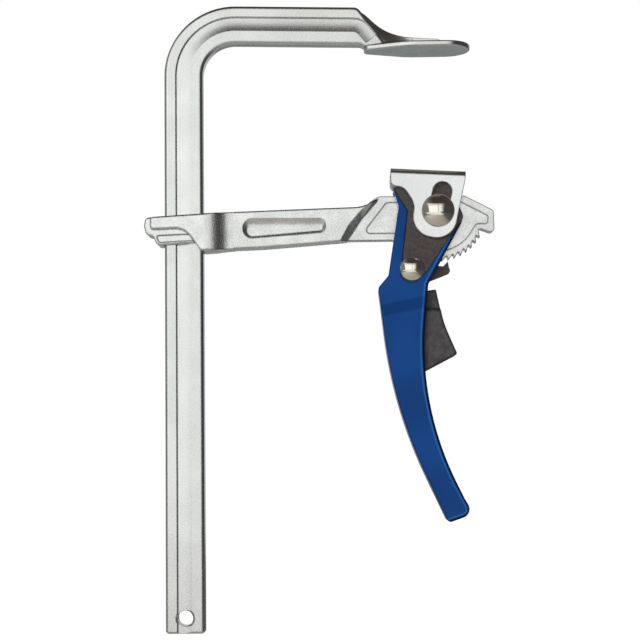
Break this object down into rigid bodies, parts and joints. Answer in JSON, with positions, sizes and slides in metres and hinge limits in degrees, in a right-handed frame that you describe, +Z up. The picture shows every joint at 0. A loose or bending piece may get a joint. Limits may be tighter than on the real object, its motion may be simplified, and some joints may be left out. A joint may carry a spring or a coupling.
{
  "type": "quick release bar clamp",
  "caption": "All-steel bar clamp: grooved rail bent into a fixed jaw, sliding arm, folded pressure pad and a cam lever held by a ratchet pawl with a squeeze release trigger.",
  "frame": {"origin": "centre of the fixed jaw's clamping face", "axes": "+X from the rail towards the jaw tips, +Z up along the rail towards the fixed jaw, Y across the thickness, the pictured side at -Y"},
  "size_m": [0.2169, 0.037, 0.3888],
  "materials": {
    "plated_forging": "pale bright plating over a fine forged grain",
    "plated_sheet": "bright plated sheet",
    "rivet_steel": "polished plated dome",
    "washer_steel": "plain bright steel",
    "dark_hardened_steel": "dark warm grey hardened steel",
    "blue_enamel": "semi-gloss blue coating",
    "spring_steel": "oiled wire",
    "black_plastic": "moulded, satin"
  },
  "bodies": {
    "frame": {"rail_bow": "plated_forging"},
    "arm": {"sliding_arm": "plated_forging", "main_rivet": "rivet_steel", "thrust_washer_front": "washer_steel", "thrust_washer_rear": "washer_steel", "head_washer_front": "washer_steel", "head_washer_rear": "washer_steel"},
    "lever": {"lever_shell": "blue_enamel", "cam_plate_front": "dark_hardened_steel", "cam_plate_rear": "dark_hardened_steel", "pawl_rivet": "rivet_steel", "pawl_sleeve": "washer_steel", "pawl_spring": "spring_steel"},
    "pad_carrier": {"guide_bush_front": "washer_steel", "guide_bush_rear": "washer_steel"},
    "pad": {"pressure_pad": "plated_sheet"},
    "pawl": {"pawl": "dark_hardened_steel", "release_trigger": "black_plastic", "trigger_pins": "washer_steel"}
  },
  "joints": [
    {"name": "arm_slide", "type": "slide", "parent": "frame", "child": "arm", "axis": [0, 0, 1], "range_m": [-0.215, 0.066]},
    {"name": "lever_swing", "type": "hinge", "parent": "arm", "child": "lever", "pos_m": [0.0112, 0, -0.1025], "axis": [0, -1, 0], "range_deg": [-15.65, 46.95]},
    {"name": "pad_tilt", "type": "hinge", "parent": "arm", "child": "pad_carrier", "pos_m": [0.0112, 0, -0.1025], "axis": [0, 1, 0], "range_deg": [-3, 8]},
    {"name": "pad_lift", "type": "slide", "parent": "pad_carrier", "child": "pad", "axis": [0.23, 0, 0.9732], "range_m": [-0.0067, 0.0023]},
    {"name": "pawl_release", "type": "hinge", "parent": "lever", "child": "pawl", "pos_m": [-0.0052, 0, -0.1379], "axis": [0, 1, 0], "range_deg": [-8, 8], "stiffness_Nm_per_rad": 0.4, "deforming": ["pawl_spring"]}
  ],
  "couplings": [
    {"joint": "pad_lift", "follows": "lever_swing", "m_per_rad": -0.008126}
  ]
}
